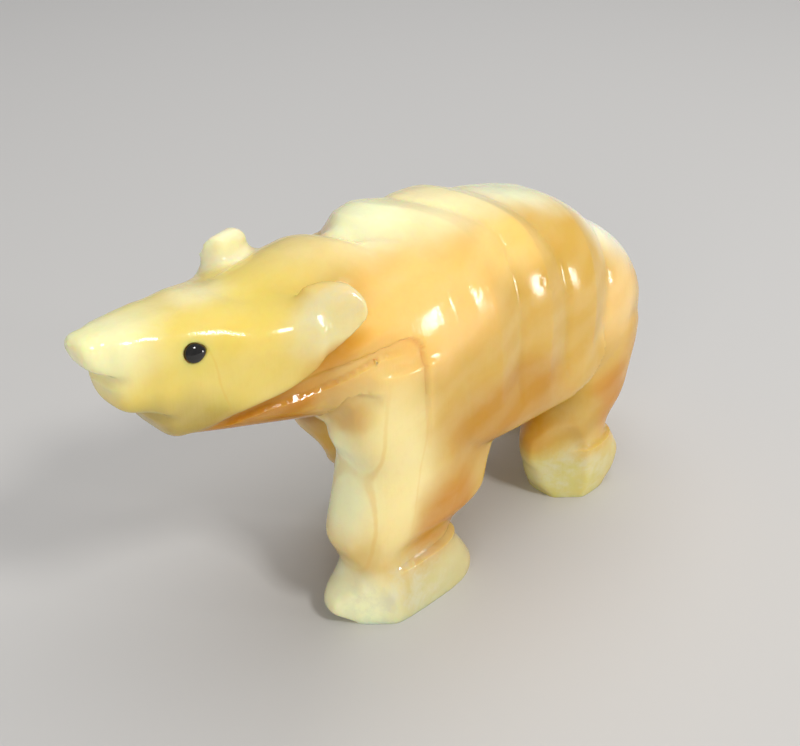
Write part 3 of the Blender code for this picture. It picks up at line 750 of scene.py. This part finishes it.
def eyePlace(mesh, side):
    # Where a line from the side meets the cheek, with Z along the mean outward slope around it
    tree = BVHTree.FromPolygons([v.co for v in mesh.vertices], [p.vertices for p in mesh.polygons])
    found, slopes = [], []
    around, outside = eyeShape["around"], eyeShape["start"] * side
    for step in (-around, 0, around):
        for lift in (-around, 0, around):
            start = Vector((eyeShape["at"][0] + step, outside, eyeShape["at"][1] + lift))
            hit, normal = tree.ray_cast(start, Vector((0, -side, 0)))[:2]
            found.append(hit)
            slopes.append(normal)
    out = sum(slopes, Vector()).normalized()
    middle = found[len(found) // 2]
    return Matrix.Translation(middle) @ out.to_track_quat("Z", "Y").to_matrix().to_4x4()


def beadProfile():
    # A plug with a rounded foot under a quarter-ellipse dome
    shape = eyeShape
    radius, depth, (flat, straight) = shape["radius"], shape["depth"], shape["foot"]
    angle = np.linspace(0, np.pi / 2, shape["rings"])
    dome = np.stack([radius * np.cos(angle), shape["dome"] * np.sin(angle)], axis=-1)
    return np.vstack([[(0, -depth), (radius * flat, -depth), (radius, -depth * straight)], dome])


def socketProfile():
    # A drilled hole with a small countersink at its mouth
    shape = eyeShape
    radius, floor = shape["radius"] + shape["gap"], -shape["depth"] - shape["gap"]
    (sink, lift), (clear, top) = shape["sink"], shape["clear"]
    mouth = [(radius, -lift), (radius + sink, lift), (radius + clear, top)]
    return [(0, floor), (radius, floor), *mouth, (0, top)]


def cutWith(thing, name, mesh):
    tool = newObject(name, mesh)
    cut = thing.modifiers.new(name, "BOOLEAN")
    cut.operation = "DIFFERENCE"
    cut.solver = "EXACT"
    cut.object = tool
    return tool


def buildBear():
    rows, columns = bodyShape["rows"], bodyShape["columns"]
    body, ears = ("torso", "neck", "head"), ("left", "right")
    grids = {name: bodySurface(bodyShape[name], rows["body"], columns) for name in body}
    grids |= {name + "Ear": earSurface(rows["ear"], columns, name) for name in ears}
    for name, keys in legShape.items():
        grids[name] = legSurface(keys, rows["leg"], columns, -1 if "Left" in name else 1)
    mesh = weldedSkin(grids)
    print("welded skin:", len(mesh.polygons), "faces")

    setPoints(mesh, blended(mesh, meshPoints(mesh)))
    setPoints(mesh, cleanCreases(meshPoints(mesh), vertexVectors(mesh, "normal")))
    points, normals = meshPoints(mesh), vertexVectors(mesh, "normal")
    depth = bandDepth(points) + archDepth(points) + neckDepth(points) + armpitDepth(points)
    depth += ankleDepth(points) + mouthDepth(points) + chipDepth(points)
    setPoints(mesh, points - normals * depth[:, None])
    print("carved")

    work = bmesh.new()      # the soles are sawn flat
    work.from_mesh(mesh)
    everything = work.verts[:] + work.edges[:] + work.faces[:]
    table = {"plane_co": (0, 0, 0), "plane_no": (0, 0, -1)}
    sawn = bmesh.ops.bisect_plane(work, geom=everything, clear_outer=True, **table)
    rim = [e for e in sawn["geom_cut"] if isinstance(e, bmesh.types.BMEdge)]
    soles = bmesh.ops.holes_fill(work, edges=rim, sides=0)
    bmesh.ops.triangulate(work, faces=soles["faces"])
    work.to_mesh(mesh)
    work.free()

    places = {"left": eyePlace(mesh, -1), "right": eyePlace(mesh, 1)}
    block, tools = newObject("block", mesh), []
    for side, place in places.items():
        tools.append(cutWith(block, side + "_socket", turnedMesh("socket", socketProfile(), place)))
    mesh = bakedMesh(block, "onyx_bear")
    for tool in tools:
        bpy.data.objects.remove(tool, do_unlink=True)
    print("sockets cut:", len(mesh.polygons), "faces")

    beads = {side: turnedMesh("bead", beadProfile(), place) for side, place in places.items()}
    points = meshPoints(mesh)
    centre = (points.min(axis=0) + points.max(axis=0)) / 2 * (1, 1, 0)
    for piece in [mesh, *beads.values()]:
        setPoints(piece, (meshPoints(piece) - centre) * scaleUnit)
        piece.shade_smooth()
    return mesh, beads, centre


bearMesh, beadMeshes, bearCentre = buildBear()
bearMesh.set_sharp_from_angle(angle=math.radians(bodyShape["sharpAngle"]))
print("centre", bearCentre)


def shaderTree(name):
    made = bpy.data.materials.new(name)
    made.use_nodes = True
    tree = made.node_tree
    return made, tree, tree.nodes["Principled BSDF"]


def addNode(tree, kind, settings=None, **inputs):
    # One node, its settings, and its inputs by name, with _ for a space, or by number as n0, n1.
    # A socket is linked, and anything else is a value.
    node = tree.nodes.new(kind)
    for name, value in (settings or {}).items():
        setattr(node, name, value)
    for name, value in inputs.items():
        key = int(name[1:]) if name[0] == "n" and name[1:].isdigit() else name.replace("_", " ")
        if isinstance(value, bpy.types.NodeSocket):
            tree.links.new(value, node.inputs[key])
        else:
            node.inputs[key].default_value = value
    return node


def blendColours(tree, factor, under, over):
    mix = addNode(tree, "ShaderNodeMix", {"data_type": "RGBA"})
    for socket, value in ((mix.inputs[0], factor), (mix.inputs[6], under), (mix.inputs[7], over)):
        if isinstance(value, bpy.types.NodeSocket):
            tree.links.new(value, socket)
        else:
            socket.default_value = value
    return mix.outputs[2]


def mapped(tree, value, fromLow, fromHigh, toLow, toHigh, kind="LINEAR"):
    ends = {"From_Min": fromLow, "From_Max": fromHigh, "To_Min": toLow, "To_Max": toHigh}
    node = addNode(tree, "ShaderNodeMapRange", {"interpolation_type": kind}, Value=value, **ends)
    return node.outputs[0]


onyxLook = {
    "base": (0.64, 0.40, 0.08, 1),         # honey of the flank
    # zones of colour, most of them the stone's own and some of them painted shade and painted light:
    # centre and radii in mm, strength, colour
    "zones": (
        ((6, 2, 74), (48, 22, 13), 1.0, (0.93, 0.81, 0.45, 1)),  # cream crown of the back
        # painted reflection: near-white on the first band's front face, where it mirrors the bright sky
        # above
        ((-10, 2, 71), (10, 12, 6), 0.8, (0.98, 0.98, 0.62, 1)),  # the first band's crest
        ((-10, -15, 59), (17, 10, 12), 1.0, (0.95, 0.59, 0.18, 1)),  # golden shoulder
        ((12, -14, 62), (10, 7, 6), 0.7, (0.98, 0.67, 0.21, 1)),
        ((-48, 0, 60), (32, 26, 22), 1.0, (0.77, 0.61, 0.14, 1)),  # pale yellow head
        # painted shade: darker under the jaw, where the head's underside lies in shadow
        ((-50, -4, 50), (15, 13, 7), 0.9, (0.42, 0.31, 0.06, 1)),  # darker jaw
        ((-64, 0, 65), (13, 10, 9), 0.9, (0.87, 0.86, 0.50, 1)),  # pale snout
        ((-48, 1, 70), (12, 8, 5), 0.7, (0.94, 0.87, 0.53, 1)),
        ((-29, -16, 63), (8, 6, 8), 1.0, (0.77, 0.67, 0.32, 1)),  # milky ear ends
        ((-30, 12, 66), (8, 8, 8), 0.95, (0.98, 0.94, 0.65, 1)),
        # painted shade: deep amber where the neck lies in shadow under the head and the ear, in this
        # zone and the next two
        ((-34, -1, 46), (18, 18, 9), 1.0, (0.50, 0.21, 0.004, 1)),  # deep amber under the neck
        ((-24, -10, 46), (8, 9, 7), 0.7, (0.58, 0.25, 0.004, 1)),
        ((-26, -14, 54), (7, 7, 5), 0.85, (0.58, 0.25, 0.004, 1)),
        ((-18, -15, 51), (7, 9, 7), 0.7, (0.85, 0.46, 0.06, 1)),
        ((-19, -13, 31), (12, 16, 22), 1.0, (0.85, 0.72, 0.33, 1)),  # cream foreleg
        # painted light: near-white on the front of the foreleg, where it faces the light
        ((-25, -9, 27), (7, 8, 13), 0.8, (0.98, 0.98, 0.61, 1)),
        # painted shade: amber on the top of the foreleg, in the shadow under the chest's lower edge
        ((-24, -7, 42), (5, 9, 4), 0.65, (0.66, 0.36, 0.05, 1)),
        ((-8, -17, 18), (9, 10, 11), 0.95, (0.55, 0.23, 0.004, 1)),  # brown at its rear
        # painted shade: dark brown on the far foreleg's inner front, which lies in shadow
        ((-17, 9, 38), (9, 9, 12), 0.9, (0.30, 0.13, 0.020, 1)),  # brown inside the far foreleg
        ((6, 8, 34), (10, 12, 22), 0.9, (0.80, 0.52, 0.16, 1)),
        # painted shade: darker amber low on the flank, towards the shadowed belly
        ((8, -18, 33), (18, 12, 10), 0.8, (0.49, 0.22, 0.004, 1)),  # amber low on the flank
        ((42, -17, 42), (7, 8, 9), 0.8, (0.88, 0.59, 0.21, 1)),
        ((54, -4, 26), (16, 24, 15), 0.8, (0.55, 0.25, 0.030, 1)),  # rust at the rump's foot
        ((42, -17, 22), (6, 8, 9), 0.85, (0.52, 0.22, 0.020, 1)),
        ((31, 3, 64), (17, 13, 7), 0.9, (0.94, 0.96, 0.66, 1)),
        ((47, -3, 59), (14, 22, 14), 0.95, (0.97, 0.98, 0.77, 1)),  # white over the rump
        # painted shade: orange in the shadow behind and under the belly
        ((26, -4, 18), (9, 11, 10), 0.9, (0.56, 0.28, 0.010, 1)),  # orange behind the belly
        # painted shadow: darker on the thigh under the belly's lip
        ((33, -18, 21), (7, 9, 9), 0.9, (0.51, 0.32, 0.06, 1)),
        ((-12, -12, 3), (22, 14, 9), 0.95, (0.62, 0.57, 0.28, 1)),  # greyish paws
        ((-25, -11, 5), (9, 10, 8), 0.8, (0.97, 0.98, 0.62, 1)),
        ((36, -12, 5), (16, 14, 10), 0.95, (0.62, 0.56, 0.19, 1)),
        ((9, 11, 3), (20, 14, 9), 0.95, (0.84, 0.77, 0.42, 1)),
        ((55, 12, 5), (16, 14, 11), 0.95, (0.82, 0.72, 0.36, 1)),
    ),
    "zoneEdge": (0.45, 1.2),           # shares of the radii between which a zone fades out
    # slow swirls that bend zones, layers and clouds: fineness, detail, reach in mm
    "swirl": (0.05, (3.0, 0.5), 10.0),
    # growth layers: fineness, waviness and its detail, tilt, range that shows, strength, colour
    "layers": (0.045, 3.0, 4.0, (0.25, 0.35, 0), (0.2, 0.9), 0.06, (0.97, 0.86, 0.52, 1)),
    # milky clouds and fine darker grain: fineness, detail, range that shows, strength, colour
    "mottles": (
        (0.11, (6.0, 0.6), (0.45, 0.72), 0.08, (0.96, 0.88, 0.60, 1)),
        (0.55, (5.0, 0.7), (0.50, 0.75), 0.06, (0.55, 0.30, 0.06, 1)),
    ),
    # clear greyish patches: centre and radii in mm, strength
    "clear": (
        ((-17, -15, 5), (13, 9, 8), 0.60),
        ((34, -15, 6), (11, 8, 8), 0.55),
        ((9, 15, 5), (13, 9, 8), 0.55),
        ((53, 15, 6), (11, 8, 8), 0.55),
        ((-28, -15, 64), (8, 5, 6), 0.50),
        ((-28, 13, 65), (8, 6, 6), 0.35),
    ),
    "clearTone": (0.66, 0.64, 0.47, 1),
    "clearBreak": (0.22, (5.0, 0.65), (0.36, 0.66)),   # noise that breaks them up
    # thin amber seams: a point on the sheet, its slope, half width in mm, centre, radii, strength
    "seams": (
        ((-20.6, 0, 41), (0.99, 0.02, -0.134), 0.22, (-22, -13, 27), (8, 12, 22), 0.26),
        ((-14.0, 0, 36), (0.98, 0.05, -0.19), 0.16, (-14, -15, 30), (7, 9, 16), 0.14),
        ((-47.4, 0, 57), (0.97, 0.10, 0.22), 0.12, (-47, -8, 57), (6, 7, 7), 0.20),
        ((18.0, 0, 45), (0.96, -0.12, 0.26), 0.20, (16, 17, 45), (14, 9, 16), 0.2),
    ),
    "seamTone": (0.72, 0.40, 0.05, 1),
    "seamEdge": (0.4, 2.2),            # half widths between which a seam fades out
    "seamWander": (0.09, (5.0, 0.5), 2.0),     # noise that bends them, as for the swirls
    "polish": (0.35, (4.0, 0.5), (0.35, 0.7), (0.09, 0.20)),   # noise, then least and greatest roughness
    "refraction": 1.49,
    "glow": (0.7, (1.0, 0.52, 0.20), 0.0038),  # subsurface weight, radius and scale
    # unevenness of the hand polish, in waves and in sanding marks: fineness, detail, depth in metres
    "waves": (0.13, (2.0, 0.4), 0.00022),
    "marks": ((1.5, 1.5, 0.10), (3.0, 0.6), 0.00003),
}


def vectorMath(tree, operation, one, other):
    node = addNode(tree, "ShaderNodeVectorMath", {"operation": operation}, n0=one, n1=other)
    return node.outputs["Value" if operation == "DOT_PRODUCT" else "Vector"]


def placeInMm(tree):
    place = addNode(tree, "ShaderNodeTexCoord").outputs["Object"]
    return addNode(tree, "ShaderNodeMapping", Vector=place, Scale=(1 / scaleUnit,) * 3).outputs[0]


def noiseNode(tree, place, fineness, detail):
    size = {"Scale": fineness, "Detail": detail[0], "Roughness": detail[1]}
    return addNode(tree, "ShaderNodeTexNoise", Vector=place, **size)


def noiseShare(tree, place, noise, low, high, kind="LINEAR"):
    # A noise turned into a value from low to high over the part of its range that shows
    fineness, detail, shows = noise
    return mapped(tree, noiseNode(tree, place, fineness, detail).outputs["Fac"], *shows, low, high, kind)


def pushedAbout(tree, place, noise):
    # The place plus a push each way: the noise's three channels less a half, times the reach
    fineness, detail, reach = noise
    channels = noiseNode(tree, place, fineness, detail).outputs["Color"]
    away = vectorMath(tree, "SUBTRACT", channels, (0.5, 0.5, 0.5))
    push = addNode(tree, "ShaderNodeVectorMath", {"operation": "SCALE"}, n0=away, Scale=reach).outputs[0]
    return vectorMath(tree, "ADD", place, push)


def zoneShare(tree, place, centre, radii, strength):
    # The strength inside an ellipsoid, fading out across its edge
    share = vectorMath(tree, "DIVIDE", vectorMath(tree, "SUBTRACT", place, centre), radii)
    far = addNode(tree, "ShaderNodeVectorMath", {"operation": "LENGTH"}, n0=share).outputs["Value"]
    return mapped(tree, far, *onyxLook["zoneEdge"], strength, 0.0, "SMOOTHSTEP")


def sheetShare(tree, place, start, slope, wide):
    # 1 on a flat sheet and 0 a few half widths off it, by the distance along its slope
    apart = vectorMath(tree, "DOT_PRODUCT", vectorMath(tree, "SUBTRACT", place, start), slope)
    near = addNode(tree, "ShaderNodeMath", {"operation": "ABSOLUTE"}, n0=apart).outputs[0]
    inner, outer = onyxLook["seamEdge"]
    return mapped(tree, near, wide * inner, wide * outer, 1.0, 0.0, "SMOOTHSTEP")


def times(tree, one, other):
    return addNode(tree, "ShaderNodeMath", {"operation": "MULTIPLY"}, n0=one, n1=other).outputs[0]


def stoneColourWithPaintedLightAndShade(tree, inMm):
    # From the honey ground up: zones of colour, painted shade and painted light among them, growth
    # layers, clouds and grain, clear patches, seams
    look, colour = onyxLook, onyxLook["base"]
    bent = pushedAbout(tree, inMm, look["swirl"])
    for centre, radii, strength, tone in look["zones"]:
        colour = blendColours(tree, zoneShare(tree, bent, centre, radii, strength), colour, tone)

    fineness, waviness, detail, tilt, shows, strength, tone = look["layers"]
    tilted = addNode(tree, "ShaderNodeMapping", Vector=bent, Rotation=tilt).outputs[0]
    bands = {"wave_type": "BANDS", "bands_direction": "Z"}
    size = {"Scale": fineness, "Distortion": waviness, "Detail": detail}
    layers = addNode(tree, "ShaderNodeTexWave", bands, Vector=tilted, **size)
    colour = blendColours(tree, mapped(tree, layers.outputs["Fac"], *shows, 0.0, strength), colour, tone)
    for *noise, strength, tone in look["mottles"]:
        colour = blendColours(tree, noiseShare(tree, bent, noise, 0.0, strength), colour, tone)

    blot = noiseShare(tree, bent, look["clearBreak"], 0.0, 1.0, "SMOOTHSTEP")
    for centre, radii, strength in look["clear"]:
        share = times(tree, zoneShare(tree, inMm, centre, radii, strength), blot)
        colour = blendColours(tree, share, colour, look["clearTone"])

    loose = pushedAbout(tree, inMm, look["seamWander"])
    for start, slope, wide, centre, radii, strength in look["seams"]:
        line = sheetShare(tree, loose, start, slope, wide)
        share = times(tree, zoneShare(tree, inMm, centre, radii, strength), line)
        colour = blendColours(tree, share, colour, look["seamTone"])
    return colour


def makeOnyx():
    look = onyxLook
    made, tree, shader = shaderTree("banded_onyx")
    inMm = placeInMm(tree)
    tree.links.new(stoneColourWithPaintedLightAndShade(tree, inMm), shader.inputs["Base Color"])
    *noise, roughness = look["polish"]
    tree.links.new(noiseShare(tree, inMm, noise, *roughness), shader.inputs["Roughness"])
    shader.inputs["IOR"].default_value = look["refraction"]
    for part, value in zip(("Weight", "Radius", "Scale"), look["glow"]):
        shader.inputs["Subsurface " + part].default_value = value
    # slow waves and, on top, sanding marks drawn out along the body's height
    fineness, detail, deep = look["waves"]
    height = noiseNode(tree, inMm, fineness, detail).outputs["Fac"]
    waves = addNode(tree, "ShaderNodeBump", Distance=deep, Height=height).outputs[0]
    stretch, detail, deep = look["marks"]
    along = addNode(tree, "ShaderNodeMapping", Vector=inMm, Scale=stretch).outputs[0]
    height = noiseNode(tree, along, 1.0, detail).outputs["Fac"]
    marks = addNode(tree, "ShaderNodeBump", Distance=deep, Height=height, Normal=waves).outputs[0]
    tree.links.new(marks, shader.inputs["Normal"])
    return made


jetLook = {
    "tones": ((0.006, 0.006, 0.006, 1), (0.022, 0.020, 0.018, 1)),
    "haze": (1.6, (3.0, 0.5)),
    "polish": ((0.3, 0.7), (0.05, 0.16)),      # range of the haze, then least and greatest roughness
    "refraction": 1.55,
}


def makeJet():
    look = jetLook
    made, tree, shader = shaderTree("jet_bead")
    haze = noiseNode(tree, placeInMm(tree), *look["haze"]).outputs["Fac"]
    tree.links.new(blendColours(tree, haze, *look["tones"]), shader.inputs["Base Color"])
    shows, roughness = look["polish"]
    tree.links.new(mapped(tree, haze, *shows, *roughness), shader.inputs["Roughness"])
    shader.inputs["IOR"].default_value = look["refraction"]
    return made


onyx = makeOnyx()
jet = makeJet()

bear = newObject("onyx_bear", bearMesh)
bear.data.materials.clear()
bear.data.materials.append(onyx)
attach(bear, "root")
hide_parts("bear")
for side, mesh in beadMeshes.items():
    bead = newObject(side + "_eye_bead", mesh)
    mesh.materials.append(jet)
    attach(bead, "root")
    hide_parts(side + "_eye")
print("pieces dressed")


stageLook = {
    "floor": (0.58, 0.57, 0.555, 1),
    "floorHalf": 1.5,
    "floorRoughness": 0.6,
    "aim": (0, 0, 0.04),               # what the lamps point at
    "sky": (0.92, 0.94, 1.0, 1),
    "skyStrength": 0.27,
    # direction from the bear, distance, width, height, power, colour, mirrored in the polish or not
    "lamps": (
        ((0.55, -0.84, 0.05), 0.62, 0.07, 0.13, 0.8, (1.0, 0.98, 0.94), True),
        ((0.35, 0.10, 0.93), 0.95, 1.10, 1.10, 6.8, (1.0, 0.99, 0.97), False),
        ((0.02, -0.68, 0.72), 0.90, 0.17, 0.14, 3.0, (1.0, 0.99, 0.97), True),
        ((-0.80, -0.55, 0.20), 1.60, 0.98, 0.98, 11.0, (1.0, 0.99, 0.97), False),
    ),
}


def makeFloor():
    half = stageLook["floorHalf"]
    corners = [(-half, -half, 0), (half, -half, 0), (half, half, 0), (-half, half, 0)]
    mesh = bpy.data.meshes.new("floor")
    mesh.from_pydata(corners, [], [(0, 1, 2, 3)])
    floor = newObject("floor", mesh)
    made, tree, shader = shaderTree("pale_floor")
    shader.inputs["Base Color"].default_value = stageLook["floor"]
    shader.inputs["Roughness"].default_value = stageLook["floorRoughness"]
    mesh.materials.append(made)


def makeLamps():
    aim = Vector(stageLook["aim"])
    for way, far, width, height, power, tone, mirrored in stageLook["lamps"]:
        data = bpy.data.lights.new("softbox", "AREA")
        data.shape = "RECTANGLE"
        data.size, data.size_y = width, height
        data.energy = power
        data.color = tone
        lamp = newObject("softbox", data)
        lamp.visible_glossy = mirrored
        spot = aim + Vector(way).normalized() * far
        lamp.location = spot
        lamp.rotation_euler = (aim - spot).to_track_quat("-Z", "Y").to_euler()
    world = bpy.data.worlds.new("studio")
    world.use_nodes = True
    sky = world.node_tree.nodes["Background"]
    sky.inputs[0].default_value = stageLook["sky"]
    sky.inputs[1].default_value = stageLook["skyStrength"]
    bpy.context.scene.world = world
    bpy.context.scene.view_settings.view_transform = "Standard"


cameraPlace = {
    "azimuth": -45.0, "pitch": 30.0,       # degrees, looking from the front left
    "focalPixels": 1150.0,
    "sensor": 36.0,
    "anchor": (-20.6, -18.1, 0.0), "anchorPixel": (400, 620), "anchorDepth": 205.9,
    "frame": (800, 746),
    "nearest": 0.01,                       # metres; nothing nearer is shown
}


def makeCamera():
    # The camera stands so that the anchor, in the shape tables' millimetres, falls on its pixel
    view = cameraPlace
    turn, drop = math.radians(view["azimuth"]), math.radians(view["pitch"])
    back = np.array([math.sin(turn) * math.cos(drop), -math.cos(turn) * math.cos(drop), math.sin(drop)])
    right = np.array([math.cos(turn), math.sin(turn), 0])
    up = np.cross(back, right)
    width, height = view["frame"]
    over = (view["anchorPixel"][0] - width / 2) / view["focalPixels"] * view["anchorDepth"]
    rise = (height / 2 - view["anchorPixel"][1]) / view["focalPixels"] * view["anchorDepth"]
    stand = np.array(view["anchor"]) - (right * over + up * rise - back * view["anchorDepth"])
    place = np.eye(4)
    place[:3, :3] = np.array([right, up, back]).T
    place[:3, 3] = (stand - bearCentre) * scaleUnit
    data = bpy.data.cameras.new("camera")
    data.sensor_width = view["sensor"]
    data.lens = view["focalPixels"] / width * view["sensor"]
    data.clip_start = view["nearest"]
    camera = newObject("camera", data)
    camera.matrix_world = Matrix(place.tolist())
    bpy.context.scene.camera = camera


makeFloor()
makeLamps()
makeCamera()
print("stage set")
